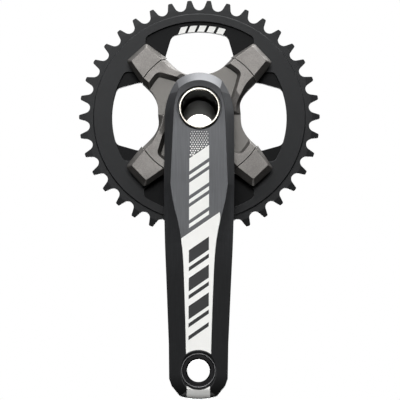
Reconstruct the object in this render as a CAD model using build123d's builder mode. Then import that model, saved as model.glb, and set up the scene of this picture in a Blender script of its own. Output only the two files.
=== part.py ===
"""Bicycle crankset: right crank arm, four-arm spider, 38-tooth chainring, hollow axle and its
threaded external-bearing bottom bracket.

Millimetres, +Z up.  The axle turns about the Y axis.  Y = 0 is the right face of the frame's
bottom bracket shell, and -Y points outboard, away from the frame.  The crank hangs down (-Z).
"""

from build123d import *
import math
import os

os.makedirs("parts", exist_ok=True)

# ---------------------------------------------------------------- driving dimensions
CRANK_LENGTH = 170.0  # axle centre to pedal centre
CHAIN_PITCH = 12.7
TEETH = 38
BOLT_CIRCLE_RADIUS = 52.0
ARM_COUNT = 4
FIRST_ARM_ANGLE = 45.0
SHELL_WIDTH = 73.0  # width of the frame's bottom bracket shell
CHAIN_LINE = 50.0  # middle of the shell to the middle of the teeth
AXLE_RADIUS = 12.0
PEDAL_THREAD_RADIUS = 7.14  # 9/16 inch
SHELL_THREAD_RADIUS = 17.4  # 1.37 inch
SHELL_THREAD_LENGTH = 10.5

# Heights are measured outboard from the plane of the teeth.
RING_BACK = -1.6
WEB_FACE = 0.5  # recessed face of the ring between the spider arms
RING_SEAT = 2.2  # outer face of the ring, on which the spider sits
CAP_BASE = 7.8  # joint between spider foot and cap
POCKET_FLOOR = 8.0  # spider face inside its pockets
SPIDER_FACE = 12.8  # outer face of the spider's ribs and of the caps
ARM_BACK = 14.0
ARM_SHOULDER = 20.5  # edge between the arm's side and its bevel
ARM_FACE = 28.0
AXLE_LIP = 28.5

TOOTH_Y = SHELL_WIDTH / 2 - CHAIN_LINE  # plane of the teeth


def drive(height=0.0, angle=0.0):
    """Plane across the axle at a height: its x direction is turned by angle, z points outboard."""
    turn = math.radians(angle)
    return Plane(
        origin=(0, TOOTH_Y - height, 0),
        x_dir=(math.cos(turn), 0, math.sin(turn)),
        z_dir=(0, -1, 0),
    )


def spider_places(radius=0.0):
    """One place on each spider arm."""
    return PolarLocations(radius, ARM_COUNT, start_angle=FIRST_ARM_ANGLE)


def turn(profile, base=TOOTH_Y, direction=-1, below=0.0, mode=Mode.ADD):
    """Turn (radius, distance) points about an axis parallel to Y that lies below the axle.

    Distances run from y = base, outboard by default.
    """
    points = [(radius, base + direction * distance) for radius, distance in profile]
    with BuildSketch(Plane.XY.offset(-below)) as section:
        Polygon(*points, align=None)
    revolve(section.sketch, axis=Axis((0, 0, -below), (0, 1, 0)), mode=mode)


def turn_circle(ring_radius, y, wire_radius, mode=Mode.ADD):
    """A round ring about the axle, or a round groove when subtracted."""
    with BuildSketch(Plane.XY) as section:
        with Locations((ring_radius, y)):
            Circle(wire_radius)
    revolve(section.sketch, axis=Axis.Y, mode=mode)


def finish(piece, name):
    """Name a finished piece and write it."""
    piece.part.label = name
    export_step(piece.part, f"parts/{name}.step")


# ---------------------------------------------------------------- chainring
PITCH_RADIUS = CHAIN_PITCH / (2 * math.sin(math.pi / TEETH))
TIP_RADIUS = PITCH_RADIUS + 3.6
ROLLER_SEAT_RADIUS = 3.9
SEAT_PLACE_RADIUS = PITCH_RADIUS + 0.5
TOOTH_PHASE = 0.3  # angle by which the teeth are turned from the spider arms
FLANK_ANGLE = math.radians(21)
FLANK_LENGTH = 7.0
TIP_ROUND = 0.85
TOOTH_THICKNESS = 2.1
TIP_THICKNESS = 1.0
TAPER_START_RADIUS = 75.5
BAND_RADIUS = 71.0
BAND_CHAMFER = 0.6
WINDOW_RADIUS = 58.4
WINDOW_ROUND = 4.5
TAB_OUTLINE = [(60.0, 39.0), (46.0, 13.8), (42.5, 9.0)]
TAB_END_ROUND = 3.0
RECESS_RADIUS = 65.5  # above and below the axle
RECESS_HALF_WIDTH = 36.4
SIDE_RECESS_RADIUS = 58.6  # left and right of the axle
SIDE_RECESS_HALF_HEIGHT = 30.4
RECESS_ROUND = 3.6
PAD_END = 62.0
PAD_HALF_WIDTH = 9.2
BOLT_RADIUS = 4.0
BOLT_CLEARANCE = 0.2
BOLT_HEAD_RADIUS = 6.2
BOLT_HEAD_HEIGHT = 2.4
BOLT_SOCKET_WIDTH = 5.0
BOLT_SOCKET_DEPTH = 2.8
BOLT_TIP = 11.0

seat_edge = (-ROLLER_SEAT_RADIUS * math.sin(FLANK_ANGLE), ROLLER_SEAT_RADIUS * math.cos(FLANK_ANGLE))
flank_end = (
    seat_edge[0] + FLANK_LENGTH * math.cos(FLANK_ANGLE),
    seat_edge[1] + FLANK_LENGTH * math.sin(FLANK_ANGLE),
)
tab_mirror = [(u, -v) for u, v in reversed(TAB_OUTLINE)]

with BuildPart() as chainring:
    with BuildSketch(drive(RING_BACK)) as plate:
        Circle(BAND_RADIUS)
    extrude(amount=RING_SEAT - RING_BACK)
    chamfer(chainring.edges(), BAND_CHAMFER)

    with BuildSketch(drive(-TOOTH_THICKNESS / 2)) as teeth:
        Circle(TIP_RADIUS)
        with PolarLocations(SEAT_PLACE_RADIUS, TEETH, start_angle=180 / TEETH + TOOTH_PHASE):
            Circle(ROLLER_SEAT_RADIUS, mode=Mode.SUBTRACT)
            Polygon(
                seat_edge,
                flank_end,
                (flank_end[0], -flank_end[1]),
                (seat_edge[0], -seat_edge[1]),
                align=None,
                mode=Mode.SUBTRACT,
            )
        tips = teeth.vertices().filter_by(lambda v: math.hypot(v.X, v.Y) > TIP_RADIUS - 0.01)
        fillet(tips, TIP_ROUND)
    extrude(amount=TOOTH_THICKNESS)
    for side in (-1, 1):
        turn(
            [
                (TAPER_START_RADIUS, side * TOOTH_THICKNESS / 2),
                (TIP_RADIUS, side * TIP_THICKNESS / 2),
                (TIP_RADIUS + 1, side * TIP_THICKNESS / 2),
                (TIP_RADIUS + 1, side * TOOTH_THICKNESS),
                (TAPER_START_RADIUS, side * TOOTH_THICKNESS),
            ],
            mode=Mode.SUBTRACT,
        )

    with BuildSketch(drive(RING_BACK - 1)) as windows:
        Circle(WINDOW_RADIUS)
        with spider_places():
            Polygon(*TAB_OUTLINE, *tab_mirror, align=None, mode=Mode.SUBTRACT)
        rims = windows.vertices().filter_by(lambda v: math.hypot(v.X, v.Y) > WINDOW_RADIUS - 0.01)
        fillet(rims, WINDOW_ROUND)
        ends = windows.vertices().filter_by(
            lambda v: math.hypot(v.X, v.Y) < math.hypot(*TAB_OUTLINE[-1]) + 0.01
        )
        fillet(ends, TAB_END_ROUND)
    extrude(amount=RING_SEAT - RING_BACK + 2, mode=Mode.SUBTRACT)

    with BuildSketch(drive(WEB_FACE)) as recess:
        Circle(RECESS_RADIUS)
        Rectangle(2 * RECESS_HALF_WIDTH, 2 * RECESS_RADIUS, mode=Mode.INTERSECT)
        fillet(recess.vertices(), RECESS_ROUND)
        with spider_places(PAD_END / 2):
            Rectangle(PAD_END, 2 * PAD_HALF_WIDTH, mode=Mode.SUBTRACT)
    extrude(amount=RING_SEAT - WEB_FACE, mode=Mode.SUBTRACT)
    with BuildSketch(drive(WEB_FACE)) as side_recess:
        Circle(SIDE_RECESS_RADIUS)
        Rectangle(2 * SIDE_RECESS_RADIUS, 2 * SIDE_RECESS_HALF_HEIGHT, mode=Mode.INTERSECT)
        fillet(side_recess.vertices(), RECESS_ROUND)
        with spider_places(PAD_END / 2):
            Rectangle(PAD_END, 2 * PAD_HALF_WIDTH, mode=Mode.SUBTRACT)
    extrude(amount=RING_SEAT - WEB_FACE, mode=Mode.SUBTRACT)

    with BuildSketch(drive(RING_BACK - 1)):
        with spider_places(BOLT_CIRCLE_RADIUS):
            Circle(BOLT_RADIUS + BOLT_CLEARANCE)
    extrude(amount=RING_SEAT - RING_BACK + 2, mode=Mode.SUBTRACT)
finish(chainring, "chainring")

with BuildPart() as chainring_bolts:
    with BuildSketch(drive(RING_BACK - BOLT_HEAD_HEIGHT)):
        with spider_places(BOLT_CIRCLE_RADIUS):
            Circle(BOLT_HEAD_RADIUS)
    extrude(amount=BOLT_HEAD_HEIGHT)
    head_rims = chainring_bolts.faces().sort_by(Axis.Y)[-ARM_COUNT:].edges()
    chamfer(head_rims, 0.6)
    with BuildSketch(drive(RING_BACK)):
        with spider_places(BOLT_CIRCLE_RADIUS):
            Circle(BOLT_RADIUS)
    extrude(amount=BOLT_TIP - RING_BACK)
    with BuildSketch(drive(RING_BACK - BOLT_HEAD_HEIGHT)):
        with spider_places(BOLT_CIRCLE_RADIUS):
            RegularPolygon(BOLT_SOCKET_WIDTH / 2, 6, major_radius=False)
    extrude(amount=BOLT_SOCKET_DEPTH, mode=Mode.SUBTRACT)
finish(chainring_bolts, "chainring_bolts")

# ---------------------------------------------------------------- spider
# Sides of one arm as (outward, sideways) points, the same on every arm.  The raised rim runs along
# the clockwise side and the pocket opens to the other side.  Each side ends half way to the next
# arm, where the outline is square to its radius.
BARREL_RADIUS = 19.5
SEAM_RADIUS = 43.6
WAIST = 19.4
RIM_FOOT = [(46.0, -10.7), (36.5, -10.7), (31.2, -11.1), (28.1, -11.9), (23.5, -14.6), (WAIST, -WAIST)]
RIM_TOP = [(46.0, -7.6), (37.4, -7.6), (34.6, -8.1), (30.2, -9.6), (25.0, -11.2), (15.6, -15.6)]
OPEN_FOOT = [(WAIST, WAIST), (25.0, 14.6), (30.5, 12.35), (33.5, 11.8), (36.5, 11.7), (46.0, 12.2)]
OPEN_TOP = [(15.0, 15.0), (24.0, 10.4), (30.5, 9.4), (33.5, 9.3), (36.5, 9.35), (46.0, 9.9)]
POCKET_FLOOR_RADIUS = 37.0
POCKET_EDGE = [(10.0, -13.9), (48.0, 7.1)]  # straight foot of the rim inside the pocket
POCKET_DRAFT = 25.0
POCKET_ROUND = 2.0
HUB_SEAT_RADIUS = 21.5
RIM_END = (22.0, 10.4)  # radius and height where the rims stop just short of the arm's seat
RIM_FULL_RADIUS = 29.0  # outside this the rims have their full height
FOOT_END = 59.0
FOOT_HALF_WIDTH = 7.5
FOOT_ROUND = 2.5


def arm_outline(rim_side, open_side):
    """One quarter of the spider from above: smooth sides, straight across the end."""
    with BuildLine() as outline:
        Spline(*rim_side, tangents=[(-1, 0), (-1, -1)])
        Polyline(rim_side[-1], (0, 0), open_side[0])
        Spline(*open_side, tangents=[(1, -1), (1, 0.1)])
        Line(open_side[-1], rim_side[0])
    make_face(outline.edges())


with BuildPart() as spider:
    for index in range(ARM_COUNT):
        arm_angle = FIRST_ARM_ANGLE + index * 360 / ARM_COUNT
        with BuildSketch(drive(RING_SEAT, arm_angle)):
            arm_outline(RIM_FOOT, OPEN_FOOT)
        extrude(amount=POCKET_FLOOR - RING_SEAT)
        with BuildSketch(drive(POCKET_FLOOR, arm_angle)):
            arm_outline(RIM_FOOT, OPEN_FOOT)
        with BuildSketch(drive(SPIDER_FACE, arm_angle)):
            arm_outline(RIM_TOP, OPEN_TOP)
        loft(ruled=True)
    turn(
        [
            (0, POCKET_FLOOR),
            (RIM_END[0], POCKET_FLOOR),
            RIM_END,
            (RIM_FULL_RADIUS, SPIDER_FACE),
            (RIM_FULL_RADIUS, SPIDER_FACE + 1),
            (0, SPIDER_FACE + 1),
        ],
        mode=Mode.SUBTRACT,
    )
    for index in range(ARM_COUNT):
        arm_angle = FIRST_ARM_ANGLE + index * 360 / ARM_COUNT
        with BuildSketch(drive(POCKET_FLOOR, arm_angle)) as pocket:
            Circle(POCKET_FLOOR_RADIUS)
            Polygon(*POCKET_EDGE, (48.0, 48.0), (10.0, 10.0), align=None, mode=Mode.INTERSECT)
            corner = pocket.vertices().sort_by(Axis.X)[-1]
            fillet(corner, POCKET_ROUND)
        extrude(amount=SPIDER_FACE - POCKET_FLOOR + 1, taper=-POCKET_DRAFT, mode=Mode.SUBTRACT)
    turn(
        [(SEAM_RADIUS, RING_SEAT), (60.0, RING_SEAT), (60.0, 14.0), (SEAM_RADIUS, 14.0)],
        mode=Mode.SUBTRACT,
    )
    with BuildSketch(drive(RING_SEAT)) as feet:
        with spider_places():
            Polygon(
                (40.0, -FOOT_HALF_WIDTH),
                (FOOT_END, -FOOT_HALF_WIDTH),
                (FOOT_END, FOOT_HALF_WIDTH),
                (40.0, FOOT_HALF_WIDTH),
                align=None,
            )
        fillet(feet.vertices().filter_by(lambda v: math.hypot(v.X, v.Y) > FOOT_END), FOOT_ROUND)
    extrude(amount=CAP_BASE - RING_SEAT)
    with BuildSketch(drive(RING_SEAT)):
        Circle(BARREL_RADIUS)
        with spider_places(BOLT_CIRCLE_RADIUS):
            Circle(BOLT_RADIUS + BOLT_CLEARANCE)
    extrude(amount=SPIDER_FACE, mode=Mode.SUBTRACT)
finish(spider, "spider")

# ---------------------------------------------------------------- caps on the spider arms
CAP_FOOT = [(42.0, -11.7), (59.6, -9.2), (60.3, 9.0), (42.0, 12.65)]
CAP_TOP = [(42.0, -7.85), (56.5, -6.15), (56.7, 7.5), (42.0, 9.85)]
CAP_FOOT_ROUND = 2.2
CAP_TOP_ROUND = 1.0
CAP_SEAM_RADIUS = 43.9
CAP_EDGE_ROUND = 0.35
CAPS = {
    "spider_cap_upper_right": 45.0,
    "spider_cap_upper_left": 135.0,
    "spider_cap_lower_left": 225.0,
    "spider_cap_lower_right": 315.0,
}

for cap_name, cap_angle in CAPS.items():
    with BuildPart() as cap:
        with BuildSketch(drive(CAP_BASE, cap_angle)) as cap_foot:
            Polygon(*CAP_FOOT, align=None)
            fillet(cap_foot.vertices().sort_by(Axis.X)[-2:], CAP_FOOT_ROUND)
        with BuildSketch(drive(SPIDER_FACE, cap_angle)) as cap_top:
            Polygon(*CAP_TOP, align=None)
            fillet(cap_top.vertices().sort_by(Axis.X)[-2:], CAP_TOP_ROUND)
        loft(ruled=True)
        turn([(0, 7), (CAP_SEAM_RADIUS, 7), (CAP_SEAM_RADIUS, 14), (0, 14)], mode=Mode.SUBTRACT)
        fillet(cap.faces().sort_by(Axis.Y)[0].edges(), CAP_EDGE_ROUND)
        with BuildSketch(drive(CAP_BASE, cap_angle)):
            with Locations((BOLT_CIRCLE_RADIUS, 0)):
                Circle(BOLT_RADIUS)
        extrude(amount=BOLT_TIP + 0.4 - CAP_BASE, mode=Mode.SUBTRACT)
    finish(cap, cap_name)

# ---------------------------------------------------------------- axle
AXLE_HEAD_RADIUS = 13.55
AXLE_HEAD_BORE = 11.85
AXLE_BORE = 10.5
AXLE_END_Y = 104.0
HEAD_CONE = (3.0, 1.5)  # heights between which the head narrows to the axle
BORE_CONE = (4.5, 3.0)
PRELOAD_THREAD_RADIUS = 10.0
PRELOAD_THREAD_LENGTH = 12.0
SPLINE_LENGTH = 18.0
SPLINES = 24
SPLINE_GROOVE_RADIUS = 0.8
LIP_ROUND = 0.7

axle_end = TOOTH_Y - AXLE_END_Y
thread_start = axle_end + PRELOAD_THREAD_LENGTH
axle_outside = [
    (AXLE_HEAD_RADIUS, AXLE_LIP),
    (AXLE_HEAD_RADIUS, HEAD_CONE[0]),
    (AXLE_RADIUS, HEAD_CONE[1]),
    (AXLE_RADIUS, axle_end),
]
axle_inside = [
    (PRELOAD_THREAD_RADIUS, axle_end),
    (PRELOAD_THREAD_RADIUS, thread_start),
    (AXLE_BORE, thread_start + 0.5),
    (AXLE_BORE, BORE_CONE[1]),
    (AXLE_HEAD_BORE, BORE_CONE[0]),
    (AXLE_HEAD_BORE, AXLE_LIP),
]

with BuildPart() as axle:
    turn(axle_outside + axle_inside)
    lip_edges = axle.faces().sort_by(Axis.Y)[0].edges()
    fillet(lip_edges, LIP_ROUND)
    with BuildSketch(drive(axle_end)):
        with PolarLocations(AXLE_RADIUS + 0.1, SPLINES):
            Circle(SPLINE_GROOVE_RADIUS)
    extrude(amount=SPLINE_LENGTH, mode=Mode.SUBTRACT)
finish(axle, "axle")

# ---------------------------------------------------------------- crank arm
# The arm's outlines run down the right side from the top: half width at each distance below
# the axle.  The face outline is narrower than the shoulder outline; a bevel joins the two.
SHOULDER_TOP = 25.4
SHOULDER_CORNER = (14.9, 20.0)
SHOULDER_SIDE = (20.8, 8.0)
SHOULDER_STRAIGHT = (22.7, -6.0)
FACE_TOP = 18.5
FACE_CORNER = (13.5, 12.7)
FACE_SIDE = (15.9, 4.5)
FACE_STRAIGHT = (16.8, -4.0)
BLADE_START = 50.0
# distance below the axle, face half width, side half width
BLADE_STATIONS = [
    (46.0, 18.4, 22.85),
    (BLADE_START, 18.6, 22.9),
    (55.0, 17.9, 22.8),
    (60.0, 17.15, 22.7),
    (66.0, 15.8, 22.6),
    (73.0, 13.95, 22.4),
    (80.0, 12.4, 22.2),
    (88.0, 11.1, 21.95),
    (96.0, 10.35, 21.6),
    (105.0, 9.8, 21.15),
    (123.0, 9.1, 20.3),
    (140.0, 8.5, 19.55),
    (153.0, 8.15, 18.95),
    (165.0, 7.85, 18.75),
    (175.0, 7.6, 18.55),
    (192.0, 7.2, 18.3),
]
BLADE_SLOPE = 0.064  # how much the blade swings outboard for its length, past its bend
BEND_LENGTH = 50.0
BACK_CHAMFER = 2.5
TIP_SHOULDER = (18.5, -175.2)
TIP_CORNER = (16.9, -179.6)
TIP_EDGE = (11.7, -186.0)
TIP_END = 187.6
TIP_ROLL = 8.0
BARREL_BACK = 0.8
BOSS_RADIUS = 15.0
BOSS_BACK = -0.5
GAP_RADIUS = 14.5
GAP_DEPTH = 2.5
PEDAL_BORE = 10.8
PEDAL_GAP_RADIUS = 11.2
PEDAL_GAP_DEPTH = 0.8
PEDAL_RECESS_RADIUS = 12.7
PEDAL_RECESS_DEPTH = 2.3


def blade_lift(distance):
    """How far outboard the blade has swung at a distance below the axle."""
    run = max(0.0, distance - BLADE_START)
    if run < BEND_LENGTH:
        return BLADE_SLOPE * run**2 / (2 * BEND_LENGTH)
    return BLADE_SLOPE * (run - BEND_LENGTH / 2)


def hub_outline(top, corner, side, straight, foot):
    """Outline of the arm's upper end, closed by a straight line at the start of the blade."""
    with BuildLine() as outline:
        ThreePointArc((-corner[0], corner[1]), (0, top), corner)
        for sign in (-1, 1):
            ThreePointArc(
                (sign * corner[0], corner[1]),
                (sign * side[0], side[1]),
                (sign * straight[0], straight[1]),
            )
            Line((sign * straight[0], straight[1]), (sign * foot, -BLADE_START))
        Line((-foot, -BLADE_START), (foot, -BLADE_START))
    make_face(outline.edges())


def shoulder_outline():
    hub_outline(SHOULDER_TOP, SHOULDER_CORNER, SHOULDER_SIDE, SHOULDER_STRAIGHT, BLADE_STATIONS[1][2])


def face_outline():
    hub_outline(FACE_TOP, FACE_CORNER, FACE_SIDE, FACE_STRAIGHT, BLADE_STATIONS[1][1])


pedal_face = ARM_FACE + blade_lift(CRANK_LENGTH)
pedal_back = ARM_BACK + blade_lift(CRANK_LENGTH)
insert_face = pedal_face - PEDAL_RECESS_DEPTH
tip_face = ARM_FACE + blade_lift(TIP_END)

with BuildPart() as crank_arm:
    with BuildSketch(drive(ARM_BACK + BACK_CHAMFER)):
        shoulder_outline()
    extrude(amount=ARM_SHOULDER - ARM_BACK - BACK_CHAMFER)
    with BuildSketch(drive(ARM_SHOULDER)):
        shoulder_outline()
    with BuildSketch(drive(ARM_FACE)):
        face_outline()
    loft(ruled=True)
    with BuildSketch(drive(ARM_BACK)):
        shoulder_outline()
        offset(amount=-BACK_CHAMFER, kind=Kind.INTERSECTION, mode=Mode.REPLACE)
    extrude(amount=BACK_CHAMFER, taper=-45)

    for distance, face_half, side_half in BLADE_STATIONS:
        lift = blade_lift(distance)
        back_half = side_half - BACK_CHAMFER
        level = Plane(origin=(0, TOOTH_Y, -distance), x_dir=(1, 0, 0), z_dir=(0, 0, -1))
        with BuildSketch(level):
            Polygon(
                (face_half, ARM_FACE + lift),
                (side_half, ARM_SHOULDER + lift),
                (side_half, ARM_BACK + BACK_CHAMFER + lift),
                (back_half, ARM_BACK + lift),
                (-back_half, ARM_BACK + lift),
                (-side_half, ARM_BACK + BACK_CHAMFER + lift),
                (-side_half, ARM_SHOULDER + lift),
                (-face_half, ARM_FACE + lift),
                align=None,
            )
    loft(ruled=True)

    with BuildSketch(drive(0)):
        with BuildLine():
            Polyline(TIP_EDGE, TIP_CORNER, TIP_SHOULDER, (40, TIP_SHOULDER[1]), (40, 40), (0, 40))
            mirror(about=Plane.YZ)
            ThreePointArc(TIP_EDGE, (0, -TIP_END), (-TIP_EDGE[0], TIP_EDGE[1]))
        make_face()
    extrude(amount=60, mode=Mode.INTERSECT)
    with BuildSketch(Plane.YZ):
        with BuildLine():
            roll_top = (TOOTH_Y - tip_face, -TIP_END + TIP_ROLL)
            roll_end = (TOOTH_Y - tip_face + TIP_ROLL, -TIP_END)
            roll_side = TIP_ROLL * math.sqrt(0.5)
            roll_middle = (roll_end[0] - roll_side, roll_top[1] - roll_side)
            ThreePointArc(roll_top, roll_middle, roll_end)
            Polyline(roll_end, (roll_end[0], -TIP_END - 5), (roll_top[0] - 5, -TIP_END - 5))
            Polyline((roll_top[0] - 5, -TIP_END - 5), (roll_top[0] - 5, roll_top[1]), roll_top)
        make_face()
    extrude(amount=30, both=True, mode=Mode.SUBTRACT)

    turn(
        [
            (0, BOSS_BACK),
            (BOSS_RADIUS, BOSS_BACK),
            (BOSS_RADIUS, BARREL_BACK),
            (BARREL_RADIUS, BARREL_BACK),
            (BARREL_RADIUS, POCKET_FLOOR),
            (HUB_SEAT_RADIUS, POCKET_FLOOR),
            (HUB_SEAT_RADIUS, ARM_BACK + BACK_CHAMFER),
            (0, ARM_BACK + BACK_CHAMFER),
        ]
    )
    turn(
        [
            (0, ARM_FACE + 1),
            (GAP_RADIUS, ARM_FACE + 1),
            (GAP_RADIUS, ARM_FACE - GAP_DEPTH),
            (AXLE_HEAD_RADIUS, ARM_FACE - GAP_DEPTH),
            (AXLE_HEAD_RADIUS, HEAD_CONE[0]),
            (AXLE_RADIUS, HEAD_CONE[1]),
            (AXLE_RADIUS, BOSS_BACK - 1),
            (0, BOSS_BACK - 1),
        ],
        mode=Mode.SUBTRACT,
    )
    turn(
        [
            (0, pedal_face + 3),
            (PEDAL_RECESS_RADIUS + 2, pedal_face + 3),
            (PEDAL_RECESS_RADIUS, pedal_face),
            (PEDAL_GAP_RADIUS, insert_face),
            (PEDAL_GAP_RADIUS, insert_face - PEDAL_GAP_DEPTH),
            (PEDAL_BORE, insert_face - PEDAL_GAP_DEPTH),
            (PEDAL_BORE, pedal_back - 5),
            (0, pedal_back - 5),
        ],
        below=CRANK_LENGTH,
        mode=Mode.SUBTRACT,
    )
finish(crank_arm, "crank_arm")

INSERT_RIM = 0.5  # width and height of the raised rim around the insert's face
INSERT_MOUTH_RADIUS = 7.9
INSERT_MOUTH_DEPTH = 0.9
INSERT_BACK = pedal_back - 0.4
insert_floor = insert_face - INSERT_RIM

with BuildPart() as pedal_insert:
    turn(
        [
            (PEDAL_THREAD_RADIUS, INSERT_BACK + 0.6),
            (PEDAL_THREAD_RADIUS + 0.6, INSERT_BACK),
            (PEDAL_BORE, INSERT_BACK),
            (PEDAL_BORE, insert_face),
            (PEDAL_BORE - INSERT_RIM, insert_face),
            (PEDAL_BORE - 2 * INSERT_RIM, insert_floor),
            (INSERT_MOUTH_RADIUS, insert_floor),
            (PEDAL_THREAD_RADIUS, insert_floor - INSERT_MOUTH_DEPTH),
        ],
        below=CRANK_LENGTH,
    )
finish(pedal_insert, "pedal_insert")

# ---------------------------------------------------------------- bottom bracket
# Each side is laid out by its distance from the face on which its cup seats, away from the shell.
SPACER_WIDTH = 2.5
SPACER_RADII = (17.6, 21.0)
CUP_RADIUS = 22.0
CUP_LENGTH = 10.5
CUP_CHAMFER = 0.8
CUP_NOTCHES = 16
NOTCH_RADIUS = 2.3
NOTCH_PLACE_RADIUS = 23.0
NOTCH_LENGTH = 7.5
CUP_BORE = 14.9
THREAD_RELIEF_RADIUS = 16.8
TUBE_SOCKET_RADIUS = 15.6
TUBE_SOCKET_DEPTH = 4.5
TUBE_RADII = (13.6, 15.4)
O_RING_WIRE = 0.55
O_RING_GROOVE = 1.4
BEARING_START = 2.5
BEARING_END = 9.5
OUTER_RACE_RADII = (16.6, 18.5)
INNER_RACE_RADII = (12.5, 14.4)
BALL_RADIUS = 1.6
BALL_PLACE_RADIUS = 15.5
BALLS = 15
RACE_GROOVE_RADIUS = 1.68
CAGE_RADII = (14.7, 16.3)
CAGE_WIDTH = 4.4
CAGE_POCKET_RADIUS = 1.7
SEAL_RADII = (17.2, 18.5)
SLEEVE_FLANGE_RADIUS = 16.9
SLEEVE_FLANGE_START = 9.7
SLEEVE_START = 2.5

SIDES = {
    "right": {"face": 0.0, "outward": -1, "spacer": SPACER_WIDTH},
    "left": {"face": SHELL_WIDTH, "outward": 1, "spacer": 0.0},
}


def turned_tube(radii, start, end, base, direction):
    """A plain tube about the axle between two distances from y = base."""
    inner, outer = radii
    turn([(inner, start), (outer, start), (outer, end), (inner, end)], base, direction)


for side_name, side in SIDES.items():
    outward = side["outward"]
    spacer = side["spacer"]
    seat = side["face"] + outward * spacer
    middle = (BEARING_START + BEARING_END) / 2
    ball_y = seat + outward * middle
    thread_end = -spacer - SHELL_THREAD_LENGTH
    bearing_plane = Plane(origin=(0, ball_y, 0), x_dir=(1, 0, 0), z_dir=(0, -1, 0))

    with BuildPart() as cup:
        turn(
            [
                (THREAD_RELIEF_RADIUS, 0),
                (CUP_RADIUS - CUP_CHAMFER, 0),
                (CUP_RADIUS, CUP_CHAMFER),
                (CUP_RADIUS, CUP_LENGTH - CUP_CHAMFER),
                (CUP_RADIUS - CUP_CHAMFER, CUP_LENGTH),
                (OUTER_RACE_RADII[1], CUP_LENGTH),
                (OUTER_RACE_RADII[1], BEARING_START),
                (TUBE_SOCKET_RADIUS, BEARING_START),
                (CUP_BORE, BEARING_START - 0.7),
                (CUP_BORE, thread_end + TUBE_SOCKET_DEPTH),
                (TUBE_SOCKET_RADIUS, thread_end + TUBE_SOCKET_DEPTH),
                (TUBE_SOCKET_RADIUS, thread_end),
                (THREAD_RELIEF_RADIUS, thread_end),
            ],
            seat,
            outward,
        )
        turned_tube((THREAD_RELIEF_RADIUS, SHELL_THREAD_RADIUS), thread_end, -spacer, seat, outward)
        notch_start = Plane(
            origin=(0, seat + outward * (CUP_LENGTH - NOTCH_LENGTH), 0),
            x_dir=(1, 0, 0),
            z_dir=(0, outward, 0),
        )
        with BuildSketch(notch_start):
            with PolarLocations(NOTCH_PLACE_RADIUS, CUP_NOTCHES):
                Circle(NOTCH_RADIUS)
        extrude(amount=NOTCH_LENGTH, mode=Mode.SUBTRACT)
    finish(cup, f"{side_name}_cup")

    with BuildPart() as outer_race:
        turned_tube(OUTER_RACE_RADII, BEARING_START, BEARING_END, seat, outward)
        turn_circle(BALL_PLACE_RADIUS, ball_y, RACE_GROOVE_RADIUS, Mode.SUBTRACT)
    finish(outer_race, f"{side_name}_outer_race")

    with BuildPart() as inner_race:
        turned_tube(INNER_RACE_RADII, BEARING_START, BEARING_END, seat, outward)
        turn_circle(BALL_PLACE_RADIUS, ball_y, RACE_GROOVE_RADIUS, Mode.SUBTRACT)
    finish(inner_race, f"{side_name}_inner_race")

    with BuildPart(bearing_plane) as balls:
        with PolarLocations(BALL_PLACE_RADIUS, BALLS):
            Sphere(BALL_RADIUS)
    finish(balls, f"{side_name}_balls")

    with BuildPart(bearing_plane) as cage:
        Cylinder(CAGE_RADII[1], CAGE_WIDTH)
        Cylinder(CAGE_RADII[0], CAGE_WIDTH, mode=Mode.SUBTRACT)
        with PolarLocations(BALL_PLACE_RADIUS, BALLS):
            Cylinder(CAGE_POCKET_RADIUS, 4, rotation=(0, 90, 0), mode=Mode.SUBTRACT)
    finish(cage, f"{side_name}_cage")

    with BuildPart() as seal:
        turned_tube(SEAL_RADII, BEARING_END, CUP_LENGTH, seat, outward)
    finish(seal, f"{side_name}_seal")

    with BuildPart() as dust_sleeve:
        turn(
            [
                (AXLE_RADIUS, SLEEVE_START),
                (INNER_RACE_RADII[0], SLEEVE_START),
                (INNER_RACE_RADII[0], SLEEVE_FLANGE_START),
                (SLEEVE_FLANGE_RADIUS, SLEEVE_FLANGE_START),
                (SLEEVE_FLANGE_RADIUS, CUP_LENGTH),
                (AXLE_RADIUS, CUP_LENGTH),
            ],
            seat,
            outward,
        )
    finish(dust_sleeve, f"{side_name}_dust_sleeve")

with BuildPart() as shell_spacer:
    turned_tube(SPACER_RADII, 0, SPACER_WIDTH, 0.0, -1)
finish(shell_spacer, "shell_spacer")

tube_start = SHELL_THREAD_LENGTH - TUBE_SOCKET_DEPTH + 0.5
tube_end = SHELL_WIDTH - tube_start
O_RING_PLACES = {"right_o_ring": tube_start + 1.8, "left_o_ring": tube_end - 1.8}

with BuildPart() as shell_tube:
    turned_tube(TUBE_RADII, tube_start, tube_end, 0.0, 1)
    for ring_y in O_RING_PLACES.values():
        groove_floor = TUBE_SOCKET_RADIUS - 2 * O_RING_WIRE
        turn(
            [
                (groove_floor, ring_y - O_RING_GROOVE / 2),
                (TUBE_SOCKET_RADIUS, ring_y - O_RING_GROOVE / 2),
                (TUBE_SOCKET_RADIUS, ring_y + O_RING_GROOVE / 2),
                (groove_floor, ring_y + O_RING_GROOVE / 2),
            ],
            0.0,
            1,
            mode=Mode.SUBTRACT,
        )
finish(shell_tube, "shell_tube")

for ring_name, ring_y in O_RING_PLACES.items():
    with BuildPart() as o_ring:
        turn_circle(TUBE_SOCKET_RADIUS - O_RING_WIRE, ring_y, O_RING_WIRE)
    finish(o_ring, ring_name)
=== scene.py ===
import math

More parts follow.
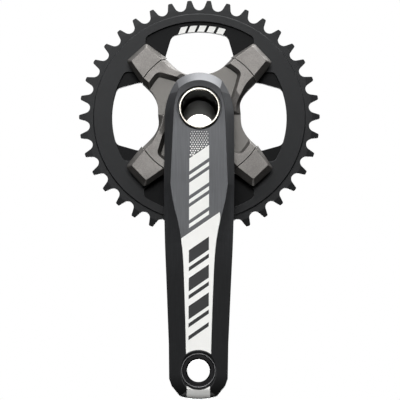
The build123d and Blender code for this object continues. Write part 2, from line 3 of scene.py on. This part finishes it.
import bmesh
import bpy
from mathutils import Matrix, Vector


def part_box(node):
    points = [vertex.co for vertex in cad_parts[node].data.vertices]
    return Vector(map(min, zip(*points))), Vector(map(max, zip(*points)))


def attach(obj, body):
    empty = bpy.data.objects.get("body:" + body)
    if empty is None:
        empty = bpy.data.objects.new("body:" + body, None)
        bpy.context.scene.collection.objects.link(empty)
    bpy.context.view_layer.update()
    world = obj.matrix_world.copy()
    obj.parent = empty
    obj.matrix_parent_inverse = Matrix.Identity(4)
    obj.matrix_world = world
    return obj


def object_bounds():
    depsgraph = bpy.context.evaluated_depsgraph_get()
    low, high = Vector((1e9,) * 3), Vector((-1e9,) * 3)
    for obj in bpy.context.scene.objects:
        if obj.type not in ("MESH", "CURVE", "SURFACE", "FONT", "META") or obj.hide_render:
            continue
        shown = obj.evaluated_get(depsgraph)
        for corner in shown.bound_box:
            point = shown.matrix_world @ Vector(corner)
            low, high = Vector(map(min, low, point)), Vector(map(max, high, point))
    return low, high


# Looks of the crankset: materials for every CAD piece, printed graphics, studio and camera.
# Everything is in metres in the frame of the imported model: the axle turns about Y, the crank
# hangs along -Z and its outer face looks towards -Y.

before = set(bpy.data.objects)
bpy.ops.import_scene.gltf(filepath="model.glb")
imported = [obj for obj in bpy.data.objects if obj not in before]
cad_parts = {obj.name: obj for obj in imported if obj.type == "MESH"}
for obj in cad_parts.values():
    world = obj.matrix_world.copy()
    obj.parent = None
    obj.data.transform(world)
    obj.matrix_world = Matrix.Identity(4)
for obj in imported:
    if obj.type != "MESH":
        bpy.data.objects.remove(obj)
cad_low, cad_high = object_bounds()

MM = 0.001

# ---------------------------------------------------------------- sizes taken from the frame
axle_low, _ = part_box("axle")
arm_low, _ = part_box("crank_arm")
ring_low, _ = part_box("chainring")
insert_low, insert_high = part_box("pedal_insert")
spider_low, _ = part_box("spider")

PEDAL_Z = (insert_low.z + insert_high.z) / 2
TIP_END = -arm_low.z  # distance of the arm's end below the axle
LIP_PROUD = 0.5 * MM  # the axle's lip stands this far proud of the arm
HUB_FACE_Y = axle_low.y + LIP_PROUD
WEB_DEPTH = 1.7 * MM  # the chainring's web lies this far behind its outer face
WEB_Y = ring_low.y + WEB_DEPTH
WEB_RADIUS = 66 * MM

# the arm's outer face swings outboard below the hub and rolls over at the tip
BEND_START = 50 * MM
BEND_LENGTH = 50 * MM
BLADE_SLOPE = 0.064
TIP_ROLL = 8 * MM
PEDAL_RECESS = 12.7 * MM
# radius beyond which the insert's raised rim carries a painted highlight
RIM_HIGHLIGHT_RADIUS = 10.25 * MM

# the axle's bore
BORE_RADIUS = 11.9 * MM
# the bore's painted light lifts its tone between BORE_STEP_Y and DARK_BORE_END
BORE_STEP_Y = -18 * MM
DARK_BORE_END = 26.9 * MM
LIP_ROUND = 0.7 * MM

# distance below the axle and half width of the arm's outer face
FACE_EDGE = [
    (66 * MM, 15.8 * MM),
    (73 * MM, 13.95 * MM),
    (80 * MM, 12.4 * MM),
    (88 * MM, 11.1 * MM),
    (96 * MM, 10.35 * MM),
    (105 * MM, 9.8 * MM),
    (123 * MM, 9.1 * MM),
    (140 * MM, 8.5 * MM),
    (153 * MM, 8.15 * MM),
    (175 * MM, 7.6 * MM),
    (192 * MM, 7.2 * MM),
]


def face_y(distance):
    """Outer face of the crank arm at a distance below the axle: flat at the hub, swung outboard
    along the blade, rolled over at the tip."""
    run = max(0.0, distance - BEND_START)
    if run < BEND_LENGTH:
        y = HUB_FACE_Y - BLADE_SLOPE * run ** 2 / (2 * BEND_LENGTH)
    else:
        y = HUB_FACE_Y - BLADE_SLOPE * (run - BEND_LENGTH / 2)
    drop = distance - (TIP_END - TIP_ROLL)
    if drop > 0:
        tip_y = HUB_FACE_Y - BLADE_SLOPE * (TIP_END - BEND_START - BEND_LENGTH / 2)
        rolled = tip_y + TIP_ROLL - math.sqrt(max(0.0, TIP_ROLL ** 2 - drop ** 2))
        y = max(y, rolled)
    return y


def face_half(distance):
    """Half width of the arm's outer face at a distance below the axle."""
    for (near, near_half), (far, far_half) in zip(FACE_EDGE, FACE_EDGE[1:]):
        if distance <= far:
            share = max(0.0, distance - near) / (far - near)
            return near_half + share * (far_half - near_half)
    return FACE_EDGE[-1][1]


# ---------------------------------------------------------------- camera
FOCAL_RATIO = 1476.67 / 400  # focal length over picture width
SENSOR_WIDTH = 36.0
CAMERA_PLACE = Vector((0.0006, -0.98075, -0.20896))
CAMERA_TILT = math.radians(8.971)
CAMERA_ROLL = math.radians(0.2)

camera_data = bpy.data.cameras.new("camera")
camera_data.sensor_width = SENSOR_WIDTH
camera_data.lens = SENSOR_WIDTH * FOCAL_RATIO
camera_data.clip_start = 0.05
camera_data.clip_end = 50.0
camera = bpy.data.objects.new("camera", camera_data)
camera.location = CAMERA_PLACE
camera.rotation_euler = (math.radians(90) + CAMERA_TILT, 0.0, 0.0)
camera.rotation_euler.rotate_axis("Z", CAMERA_ROLL)
bpy.context.scene.collection.objects.link(camera)
bpy.context.scene.camera = camera
bpy.context.scene.view_settings.view_transform = "Standard"
bpy.context.scene.view_settings.look = "None"

# ---------------------------------------------------------------- node helpers
# sockets of a Mix node that mixes colours
MIX_FIRST = 6
MIX_SECOND = 7
MIX_RESULT = 2


class Shader:
    """A material with its Principled shader and short ways to add and join nodes."""

    def __init__(self, name):
        self.material = bpy.data.materials.new(name)
        self.material.use_nodes = True
        self.tree = self.material.node_tree
        self.tree.nodes.clear()
        output = self.tree.nodes.new("ShaderNodeOutputMaterial")
        self.main = self.tree.nodes.new("ShaderNodeBsdfPrincipled")
        self.join(self.main.outputs["BSDF"], output.inputs["Surface"])
        self.place = self.tree.nodes.new("ShaderNodeTexCoord").outputs["Object"]

    def join(self, source, target):
        self.tree.links.new(source, target)

    def noise(self, size, detail=3.0, stretch=(1, 1, 1), roughness=0.55):
        """Noise with features of about the given size in metres; stretch lengthens them."""
        mapping = self.tree.nodes.new("ShaderNodeMapping")
        mapping.inputs["Scale"].default_value = [1 / s for s in stretch]
        self.join(self.place, mapping.inputs["Vector"])
        noise = self.tree.nodes.new("ShaderNodeTexNoise")
        noise.inputs["Scale"].default_value = 1 / size
        noise.inputs["Detail"].default_value = detail
        noise.inputs["Roughness"].default_value = roughness
        self.join(mapping.outputs["Vector"], noise.inputs["Vector"])
        return noise.outputs["Fac"]

    def span(self, value, low, high, start=0.3, end=0.7):
        """The value's range start..end mapped to low..high."""
        node = self.tree.nodes.new("ShaderNodeMapRange")
        node.inputs["From Min"].default_value = start
        node.inputs["From Max"].default_value = end
        node.inputs["To Min"].default_value = low
        node.inputs["To Max"].default_value = high
        self.join(value, node.inputs["Value"])
        return node.outputs["Result"]

    def math(self, operation, first, second=0.0):
        """Result of a Math node on two numbers or sockets."""
        node = self.tree.nodes.new("ShaderNodeMath")
        node.operation = operation
        for socket, value in zip(node.inputs, (first, second)):
            if isinstance(value, (int, float)):
                socket.default_value = value
            else:
                self.join(value, socket)
        return node.outputs["Value"]

    def mix(self, factor, first, second):
        """Mix of two colours or colour sockets."""
        node = self.tree.nodes.new("ShaderNodeMix")
        node.data_type = "RGBA"
        self.join(factor, node.inputs["Factor"])
        for socket, value in ((node.inputs[MIX_FIRST], first), (node.inputs[MIX_SECOND], second)):
            if isinstance(value, tuple):
                socket.default_value = (*value, 1)
            else:
                self.join(value, socket)
        return node.outputs[MIX_RESULT]

    def bump(self, height, depth, edge=0.0):
        """Bump of a depth in metres, over edges softened to the given radius."""
        node = self.tree.nodes.new("ShaderNodeBump")
        node.inputs["Strength"].default_value = 1.0
        node.inputs["Distance"].default_value = depth
        self.join(height, node.inputs["Height"])
        if edge:
            self.join(self.soft_edges(edge), node.inputs["Normal"])
        self.join(node.outputs["Normal"], self.main.inputs["Normal"])

    def soft_edges(self, radius):
        """Normal that turns smoothly over edges."""
        node = self.tree.nodes.new("ShaderNodeBevel")
        node.samples = 6
        node.inputs["Radius"].default_value = radius
        return node.outputs["Normal"]

    def coordinates(self):
        """The point's x, y and z in the frame, riding with the piece."""
        split = self.tree.nodes.new("ShaderNodeSeparateXYZ")
        self.join(self.place, split.inputs["Vector"])
        return split.outputs

    def radius(self, height=0.0):
        """Distance from a line parallel to the axle at the given height."""
        x, _, z = self.coordinates()
        rise = self.math("SUBTRACT", z, height)
        square = self.math("ADD", self.math("MULTIPLY", x, x), self.math("MULTIPLY", rise, rise))
        return self.math("SQRT", square)

    def overlay(self, mask, colour):
        """Lays a colour over what the base colour is so far, where the mask is 1."""
        base = self.main.inputs["Base Color"]
        self.join(self.mix(mask, base.links[0].from_socket, colour), base)

    def edge_wear(self, radius):
        """1 on sharp edges, 0 on flat faces."""
        geometry = self.tree.nodes.new("ShaderNodeNewGeometry")
        dot = self.tree.nodes.new("ShaderNodeVectorMath")
        dot.operation = "DOT_PRODUCT"
        self.join(self.soft_edges(radius), dot.inputs[0])
        self.join(geometry.outputs["Normal"], dot.inputs[1])
        return self.span(dot.outputs["Value"], 1.0, 0.0, 0.80, 0.99)


def shade(colour, factor):
    """The colour made darker or lighter by a factor."""
    return tuple(min(1.0, channel * factor) for channel in colour)


# ---------------------------------------------------------------- kinds of finish
CLOUD_SIZE = 14 * MM
STREAK_SIZE = 0.45 * MM
WEAR_WIDTH = 0.45 * MM
WEAR_PATCH = 1.2 * MM
TURNING_PITCH = 0.25 * MM
TURNING_DEPTH = 0.012 * MM
STAIN_SIZE = 5 * MM
PLASTIC_GRAIN = 0.4 * MM
PLASTIC_DEPTH = 0.03 * MM
PLASTIC_CLOUD = 9 * MM
SMALL_EDGE = 0.2 * MM
INK_PEEL = 0.9 * MM
INK_PEEL_DEPTH = 0.01 * MM
INK_CLOUD = 6 * MM
INK_ROUGHNESS = 0.42


def blasted_metal(
    name, colour, metallic, roughness, grain, depth, mottle, edge, wear=None, streaks=None
):
    """Blasted and anodised metal: fine grain, cloudy tone, softened edges, and where asked for
    worn edges and lighter streaks."""
    s = Shader(name)
    s.main.inputs["Metallic"].default_value = metallic
    cloud = s.noise(CLOUD_SIZE, 2.0)
    fine = s.noise(grain, 4.0, roughness=0.7)
    tone = s.math("ADD", s.math("MULTIPLY", cloud, 0.35), s.math("MULTIPLY", fine, 0.65))
    base = s.mix(s.span(tone, 0, 1, 0.38, 0.62), shade(colour, 1 - mottle), shade(colour, 1 + mottle))
    if streaks:
        lines = s.noise(STREAK_SIZE, 3.0, stretch=streaks, roughness=0.7)
        base = s.mix(s.span(lines, 0, 0.55, 0.42, 0.72), base, shade(colour, 1.7))
    if wear:
        patches = s.span(s.noise(WEAR_PATCH), 0.15, 0.8)
        base = s.mix(s.math("MULTIPLY", s.edge_wear(WEAR_WIDTH), patches), base, wear)
    s.join(base, s.main.inputs["Base Color"])
    s.join(s.span(fine, roughness - 0.06, roughness + 0.07), s.main.inputs["Roughness"])
    s.bump(fine, depth, edge=edge)
    return s


def turned_metal(name, colour, roughness):
    """Metal turned on a lathe: fine rings about the axle."""
    s = Shader(name)
    s.main.inputs["Metallic"].default_value = 1.0
    rings = s.noise(TURNING_PITCH, 3.0, stretch=(80, 1, 80), roughness=0.8)
    stain = s.span(s.noise(STAIN_SIZE, 3.0), 0, 1)
    s.join(s.mix(stain, shade(colour, 0.88), shade(colour, 1.08)), s.main.inputs["Base Color"])
    s.join(s.span(rings, roughness - 0.05, roughness + 0.08), s.main.inputs["Roughness"])
    s.bump(rings, TURNING_DEPTH, edge=SMALL_EDGE)
    return s


def moulded(name, colour, roughness, mottle=0.15):
    """Moulded plastic, rubber or paper with a fine texture."""
    s = Shader(name)
    fine = s.noise(PLASTIC_GRAIN, 4.0, roughness=0.7)
    cloud = s.span(s.noise(PLASTIC_CLOUD, 2.0), 0, 1)
    tone = s.mix(cloud, shade(colour, 1 - mottle), shade(colour, 1 + mottle))
    s.join(tone, s.main.inputs["Base Color"])
    s.join(s.span(fine, roughness - 0.08, roughness + 0.08), s.main.inputs["Roughness"])
    s.bump(fine, PLASTIC_DEPTH, edge=SMALL_EDGE)
    return s


def paint(name, colour):
    """Printed graphics: opaque ink with a faint orange-peel surface."""
    s = Shader(name)
    peel = s.noise(INK_PEEL, 3.0)
    tint = s.span(s.noise(INK_CLOUD, 3.0), 0, 1)
    s.join(s.mix(tint, shade(colour, 0.965), colour), s.main.inputs["Base Color"])
    s.join(s.span(peel, INK_ROUGHNESS - 0.05, INK_ROUGHNESS + 0.05), s.main.inputs["Roughness"])
    s.bump(peel, INK_PEEL_DEPTH)
    return s


# ---------------------------------------------------------------- finishes of single pieces
# heights over which the arm's tone fades, each from no fade to full fade; the fade at the hub's top
# is painted shade
HUB_SHADE_FADE = (-14 * MM, 18 * MM)
BLADE_FADE = (-60 * MM, -110 * MM)
TIP_FADE = (-172 * MM, -183 * MM)
BLADE_FADE_SHARE = 0.65
FACE_BAND = 0.25 * MM  # what lies this close behind the hub's face counts as the face
BEVEL_HIGHLIGHT_LOW_END = 11 * MM  # height where the painted highlight on the bevel around the hub's top ends
POCKET_SHADE_START = 3.6 * MM  # depths behind the spider's front between which painted shade darkens it
POCKET_SHADE_FULL = 4.6 * MM
RECESS_START = 1 * MM  # depth behind the ring's front where its web begins


def arm_metal():
    """Grey forging; the bevel around the hub's top is lightened by a painted highlight. Its face
    darkens towards the hub's top with painted shade, and darkens along the blade and at the rolled
    tip."""
    s = blasted_metal(
        "arm_anodised", (0.060, 0.062, 0.066), metallic=0.6, roughness=0.38, grain=0.35 * MM,
        depth=0.02 * MM, mottle=0.08, edge=0.5 * MM, streaks=(1, 1, 60),
    )
    _, y, z = s.coordinates()
    on_face = s.math("LESS_THAN", y, HUB_FACE_Y + FACE_BAND)
    off_face = s.math("SUBTRACT", 1, on_face)
    # painted highlight: lightens the bevel around the hub's top
    bevel = s.math("MULTIPLY", off_face, s.math("GREATER_THAN", z, BEVEL_HIGHLIGHT_LOW_END))
    s.overlay(bevel, (0.135, 0.139, 0.147))
    # painted shade: darkens the face towards the hub's top
    hub_top_painted_shade = s.math("MULTIPLY", on_face, s.span(z, 0, 1, *HUB_SHADE_FADE))
    s.overlay(hub_top_painted_shade, (0.010, 0.0105, 0.012))
    blade = s.math("MULTIPLY", s.span(z, 0, 1, *BLADE_FADE), BLADE_FADE_SHARE)
    s.overlay(blade, (0.026, 0.0265, 0.027))
    s.overlay(s.span(z, 0, 1, *TIP_FADE), (0.007, 0.007, 0.007))
    return s


def spider_metal():
    """Warm grey, coarsely blasted, with worn edges, and painted shade that darkens its pockets and
    flanks.
    """
    s = blasted_metal(
        "spider_anodised", (0.160, 0.152, 0.144), metallic=0.7, roughness=0.42, grain=0.65 * MM,
        depth=0.06 * MM, mottle=0.3, edge=0.45 * MM, wear=(0.5, 0.48, 0.46),
    )
    _, y, _ = s.coordinates()
    # painted shade: darkens the spider's pockets, feet and flanks
    pocket_painted_shade = s.span(y, 0, 1, spider_low.y + POCKET_SHADE_START, spider_low.y + POCKET_SHADE_FULL)
    s.overlay(pocket_painted_shade, (0.118, 0.113, 0.106))
    return s


def ring_metal():
    """Black, with worn edges; the recessed web is darker with painted shade, and duller than the band
    around it.
    """
    s = blasted_metal(
        "ring_anodised", (0.0078, 0.0084, 0.0092), metallic=0.3, roughness=0.42, grain=0.5 * MM,
        depth=0.03 * MM, mottle=0.12, edge=0.3 * MM, wear=(0.16, 0.165, 0.17),
    )
    _, y, _ = s.coordinates()
    recessed = s.math("GREATER_THAN", y, ring_low.y + RECESS_START)
    web = s.math("MULTIPLY", recessed, s.math("LESS_THAN", s.radius(), WEB_RADIUS))
    # painted shade: darkens the recessed web
    s.overlay(web, (0.0035, 0.0037, 0.004))
    s.join(s.span(web, 0.25, 0.1, 0, 1), s.main.inputs["Specular IOR Level"])
    return s


def axle_metal():
    """Polished steel outside, at the lip and deep in the bore, and matt dark in between, where a
    painted light lifts the tone with depth towards the far opening."""
    s = turned_metal("axle_polished_steel", (0.50, 0.475, 0.42), roughness=0.2)
    _, y, _ = s.coordinates()
    inside = s.math("LESS_THAN", s.radius(), BORE_RADIUS)
    below_lip = s.math("GREATER_THAN", y, axle_low.y + LIP_ROUND)
    near = s.math("LESS_THAN", y, DARK_BORE_END)
    dark_bore = s.math("MULTIPLY", inside, s.math("MULTIPLY", below_lip, near))
    # painted light: the dark bore's tone lifts with depth towards the far opening
    depth = s.span(y, 0, 1, BORE_STEP_Y, DARK_BORE_END)
    s.overlay(dark_bore, s.mix(depth, (0.016, 0.015, 0.012), (0.55, 0.55, 0.50)))
    s.join(s.math("SUBTRACT", 1, dark_bore), s.main.inputs["Metallic"])
    s.join(s.span(dark_bore, 0.5, 0.06, 0, 1), s.main.inputs["Specular IOR Level"])
    roughness = s.main.inputs["Roughness"]
    matt = s.math("ADD", roughness.links[0].from_socket, s.math("MULTIPLY", dark_bore, 0.4))
    s.join(matt, roughness)
    return s


def insert_metal():
    """Dark turned steel whose raised rim is lightened by a painted highlight."""
    s = turned_metal("insert_turned_steel", (0.022, 0.022, 0.023), roughness=0.34)
    rim = s.math("GREATER_THAN", s.radius(PEDAL_Z), RIM_HIGHLIGHT_RADIUS)
    # painted highlight: lightens the raised rim all round
    s.overlay(rim, (0.19, 0.19, 0.195))
    return s


spider_finish = spider_metal()
cup_finish = blasted_metal(
    "cup_anodised", (0.02, 0.021, 0.023), metallic=0.5, roughness=0.35, grain=0.4 * MM,
    depth=0.02 * MM, mottle=0.1, edge=0.35 * MM,
)
bearing_finish = turned_metal("bearing_ground_steel", (0.7, 0.7, 0.72), roughness=0.15)
cage_finish = turned_metal("cage_brass", (0.62, 0.45, 0.18), roughness=0.3)
plastic_finish = moulded("sleeve_plastic", (0.02, 0.02, 0.021), roughness=0.5)
seal_finish = moulded("seal_rubber", (0.014, 0.014, 0.014), roughness=0.62)
white_ink = paint("white_ink", (0.87, 0.87, 0.845))
dark_ink = paint("dark_ink", (0.012, 0.0125, 0.0135))
dark_ink.main.inputs["Specular IOR Level"].default_value = 0.28

FINISHES = {
    "crank_arm": arm_metal(),
    "spider": spider_finish,
    "chainring": ring_metal(),
    "chainring_bolts": turned_metal("bolt_black_oxide", (0.05, 0.05, 0.052), roughness=0.32),
    "axle": axle_metal(),
    "pedal_insert": insert_metal(),
    "shell_tube": plastic_finish,
    "shell_spacer": plastic_finish,
}
for place in ("upper_right", "upper_left", "lower_left", "lower_right"):
    FINISHES["spider_cap_" + place] = spider_finish
for side in ("right", "left"):
    FINISHES[side + "_cup"] = cup_finish
    FINISHES[side + "_dust_sleeve"] = plastic_finish
    FINISHES[side + "_seal"] = seal_finish
    FINISHES[side + "_o_ring"] = seal_finish
    FINISHES[side + "_inner_race"] = bearing_finish
    FINISHES[side + "_outer_race"] = bearing_finish
    FINISHES[side + "_balls"] = bearing_finish
    FINISHES[side + "_cage"] = cage_finish
for node_name, node_finish in FINISHES.items():
    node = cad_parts[node_name]
    for slot in node.material_slots:
        slot.link = "OBJECT"
        slot.material = node_finish.material

# ---------------------------------------------------------------- printed graphics
INK_LIFT = 0.05 * MM  # a print stands this far off its face
WELD = 0.01 * MM
STEP = 1.5 * MM  # size of the patches a bar is cut into to follow the face
SLANT = -0.70  # printed edges rise to the right by this much for their width
BAR_HALF = 6.4 * MM
WIDE_BAR = 8.5 * MM
NARROW_BAR = 2.6 * MM
BAR_GAP = 2.5 * MM
BAR_PAIRS = 3
HUB_BARS_START = 29 * MM
HUB_BAR_PITCH = 16 * MM
BLADE_BARS_START = 89 * MM
BLADE_BAR_PITCH = 18 * MM
LAST_BAR_START = 144 * MM


def web_y(distance):
    """Front of the chainring's web, which is flat."""
    return WEB_Y


def add_print(name, faces, ink, surface=face_y, lift=INK_LIFT):
    """A printed area on a surface, from faces given as lists of (x, distance below the axle)."""
    mesh_code = bmesh.new()
    for face in faces:
        corners = [mesh_code.verts.new((x, surface(d) - lift, -d)) for x, d in face]
        mesh_code.faces.new(corners)
    bmesh.ops.remove_doubles(mesh_code, verts=mesh_code.verts, dist=WELD)
    mesh_code.normal_update()
    for face in mesh_code.faces:
        if face.normal.y > 0:
            face.normal_flip()
    mesh = bpy.data.meshes.new(name)
    mesh_code.to_mesh(mesh)
    mesh_code.free()
    mesh.materials.append(ink.material)
    piece = bpy.data.objects.new(name, mesh)
    bpy.context.scene.collection.objects.link(piece)
    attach(piece, "crank")


def patch(columns, rows, corner):
    """Faces of a grid; corner gives a point from its place across and down, each 0 to 1."""
    points = [[corner(c / columns, r / rows) for c in range(columns + 1)] for r in range(rows + 1)]
    return [
        [points[r][c], points[r][c + 1], points[r + 1][c + 1], points[r + 1][c]]
        for r in range(rows)
        for c in range(columns)
    ]


def slash(start, thickness):
    """Faces of one slanted bar; start is its upper edge on the centre line."""

    def corner(across, down):
        x = (2 * across - 1) * BAR_HALF
        return x, start + SLANT * x + thickness * down

    return patch(round(2 * BAR_HALF / STEP), max(1, round(thickness / STEP)), corner)


def slashes(first, pitch):
    """Faces of alternating wide and narrow bars."""
    faces = []
    for index in range(BAR_PAIRS):
        faces += slash(first + index * pitch, WIDE_BAR)
        faces += slash(first + index * pitch + WIDE_BAR + BAR_GAP, NARROW_BAR)
    return faces


# the white field covers the blade's face from a slanted edge down to the pedal recess
FIELD_START = 77.8 * MM
FIELD_TOP_SIDES = (-11.3 * MM, 13.3 * MM)
FIELD_INSET = 0.15 * MM
FIELD_SPREAD = 12  # its sides run in to the face's edge over a twelfth of its length
FIELD_COLUMNS = 16
FIELD_ROWS = 60


def recess_drop(x, radius):
    """Height of a circle about the pedal's axis above that axis."""
    return math.sqrt(max(0.0, radius ** 2 - x ** 2))


def field_corner(across, down):
    """A point of the white field."""
    left, right = FIELD_TOP_SIDES
    start_x = left + (right - left) * across
    start_d = FIELD_START + SLANT * start_x
    end_x = (2 * across - 1) * face_half(-PEDAL_Z)
    end_d = -PEDAL_Z - recess_drop(end_x, PEDAL_RECESS + FIELD_INSET)
    d = start_d + (end_d - start_d) * down
    edge_x = (2 * across - 1) * (face_half(d) - FIELD_INSET)
    x = start_x + (edge_x - start_x) * min(1.0, down * FIELD_SPREAD)
    return x, d


add_print("blade_field_print", patch(FIELD_COLUMNS, FIELD_ROWS, field_corner), white_ink)

# the tip's print runs from the pedal recess to the arm's curved end
TIP_PRINT_HALF = 7.3 * MM
TIP_EDGE_HALF = 11.7 * MM
TIP_EDGE_RISE = 1.3 * MM  # the arm's end is this much higher at its corners than in the middle
TIP_INSET = 0.45 * MM
TIP_COLUMNS = 16
TIP_ROWS = 8


def tip_corner(across, down):
    """A point of the tip's print."""
    x = (2 * across - 1) * TIP_PRINT_HALF
    top = -PEDAL_Z + recess_drop(x, PEDAL_RECESS - TIP_INSET)
    bottom = TIP_END - TIP_INSET - TIP_EDGE_RISE * (x / TIP_EDGE_HALF) ** 2
    return x, top + (bottom - top) * down


add_print("tip_print", patch(TIP_COLUMNS, TIP_ROWS, tip_corner), white_ink)

# slanted white bars on the grey face, and dark bars on the white field
add_print("hub_bars_print", slashes(HUB_BARS_START, HUB_BAR_PITCH), white_ink)
blade_bars = slashes(BLADE_BARS_START, BLADE_BAR_PITCH) + slash(LAST_BAR_START, NARROW_BAR)
add_print("blade_bars_print", blade_bars, dark_ink, lift=2 * INK_LIFT)

# a field of dots that get smaller upwards from the first bar
DOT_PITCH = 1.6 * MM
DOT_RADIUS = 0.62 * MM
DOT_CORNERS = 8
DOT_ROWS = 13
DOT_ROW_SPACING = 0.87 * DOT_PITCH
DOT_COLUMNS = 4  # to each side of the middle one
DOT_SHRINK = 0.62
DOTS_END = 32.5 * MM


def dot(x, d, radius):
    """Face of one round dot."""
    angles = [2 * math.pi * corner / DOT_CORNERS for corner in range(DOT_CORNERS)]
    return [(x + radius * math.cos(angle), d + radius * math.sin(angle)) for angle in angles]


dots = []
for row in range(DOT_ROWS):
    radius = DOT_RADIUS * (1 - DOT_SHRINK * row / DOT_ROWS)
    for column in range(-DOT_COLUMNS, DOT_COLUMNS + 1):
        x = (column + 0.5 * (row % 2)) * DOT_PITCH
        d = DOTS_END - row * DOT_ROW_SPACING
        above_bar = d < HUB_BARS_START + SLANT * x - radius
        if abs(x) <= BAR_HALF - radius and above_bar:
            dots.append(dot(x, d, radius))
add_print("hub_dots_print", dots, white_ink)

# a row of short slanted stripes on the chainring's upper web, between two circles
STRIPE_COUNT = 5
STRIPES_LEFT = -14.6 * MM
STRIPE_PITCH = 6.4 * MM
STRIPE_WIDTH = 4.6 * MM
STRIPE_LEAN = 2.0 * MM
STRIPE_INNER = 58.6 * MM
STRIPE_OUTER = 62.9 * MM
STRIPE_COLUMNS = 4


def stripe(left):
    """Faces of one stripe whose lower left corner is at the given x."""

    def corner(across, down):
        radius = STRIPE_OUTER + (STRIPE_INNER - STRIPE_OUTER) * down
        x = left + STRIPE_WIDTH * across + STRIPE_LEAN * (1 - down)
        return x, -math.sqrt(radius ** 2 - x ** 2)

    return patch(STRIPE_COLUMNS, 1, corner)


stripes = []
for index in range(STRIPE_COUNT):
    stripes += stripe(STRIPES_LEFT + index * STRIPE_PITCH)
add_print("web_stripes_print", stripes, white_ink, surface=web_y)

# ---------------------------------------------------------------- studio
FLOOR_GAP = 0.06
FLOOR_Z = cad_low.z - FLOOR_GAP
FLOOR_HALF = 4.0
FLOOR_CORNERS = ((-1, -1), (1, -1), (1, 1), (-1, 1))

# the floor throws no light back and casts no shadow, so the light from below gets past it
floor_mesh = bpy.data.meshes.new("floor")
floor_points = [(x * FLOOR_HALF, y * FLOOR_HALF, FLOOR_Z) for x, y in FLOOR_CORNERS]
floor_mesh.from_pydata(floor_points, [], [(0, 1, 2, 3)])
floor_finish = moulded("floor_paper", (0.82, 0.82, 0.81), roughness=0.7, mottle=0.02)
floor_mesh.materials.append(floor_finish.material)
floor = bpy.data.objects.new("floor", floor_mesh)
bpy.context.scene.collection.objects.link(floor)
floor.visible_diffuse = False
floor.visible_glossy = False
floor.visible_shadow = False

# Sky: white where the camera sees it; as light it is bright overhead and dark low down.
# Each pair is a height, from 0 straight down to 1 straight up, and the brightness there.
SKY = [(0.48, 0.010), (0.56, 0.03), (0.66, 0.08), (0.78, 0.35), (0.88, 1.0), (1.0, 1.15)]
world = bpy.data.worlds.new("studio")
bpy.context.scene.world = world
world.use_nodes = True
sky_nodes = world.node_tree.nodes
sky_join = world.node_tree.links.new
sky_nodes.clear()
world_output = sky_nodes.new("ShaderNodeOutputWorld")
background = sky_nodes.new("ShaderNodeBackground")
background.inputs["Strength"].default_value = 1.0
sky_join(background.outputs["Background"], world_output.inputs["Surface"])
direction = sky_nodes.new("ShaderNodeTexCoord")
split = sky_nodes.new("ShaderNodeSeparateXYZ")
sky_join(direction.outputs["Generated"], split.inputs["Vector"])
height = sky_nodes.new("ShaderNodeMapRange")
height.inputs["From Min"].default_value = -1
height.inputs["From Max"].default_value = 1
sky_join(split.outputs["Z"], height.inputs["Value"])
ramp = sky_nodes.new("ShaderNodeValToRGB")
while len(ramp.color_ramp.elements) < len(SKY):
    ramp.color_ramp.elements.new(0.5)
for element, (position, level) in zip(ramp.color_ramp.elements, SKY):
    element.position = position
    element.color = (level, level, level, 1)
sky_join(height.outputs["Result"], ramp.inputs["Fac"])
path = sky_nodes.new("ShaderNodeLightPath")
seen = sky_nodes.new("ShaderNodeMix")
seen.data_type = "RGBA"
seen.inputs[MIX_SECOND].default_value = (1, 1, 1, 1)
sky_join(path.outputs["Is Camera Ray"], seen.inputs["Factor"])
sky_join(ramp.outputs["Color"], seen.inputs[MIX_FIRST])
sky_join(seen.outputs[MIX_RESULT], background.inputs["Color"])


def softbox(name, place, target, width, height, power):
    """A rectangular area light aimed at a point."""
    data = bpy.data.lights.new(name, "AREA")
    data.shape = "RECTANGLE"
    data.size = width
    data.size_y = height
    data.energy = power
    light = bpy.data.objects.new(name, data)
    light.location = place
    light.rotation_euler = (Vector(target) - Vector(place)).to_track_quat("-Z", "Y").to_euler()
    light.visible_camera = False
    bpy.context.scene.collection.objects.link(light)


HUB = (0.0, HUB_FACE_Y, 0.0)
PEDAL = (0.0, HUB_FACE_Y, PEDAL_Z)
softbox("top_box", (0.1, -0.1, 1.1), HUB, width=2.6, height=1.0, power=36.0)
softbox("front_box", (-0.25, -2.2, 0.81), HUB, width=1.6, height=1.0, power=27.5)
softbox("right_box", (2.0, 0.2, 0.9), HUB, width=1.2, height=0.8, power=4.6)
softbox("low_box", (0.0, -0.32, -1.5), PEDAL, width=0.8, height=0.5, power=5.0)
softbox("axle_box", (0.0, 1.1, -0.17), HUB, width=0.5, height=0.5, power=6.0)
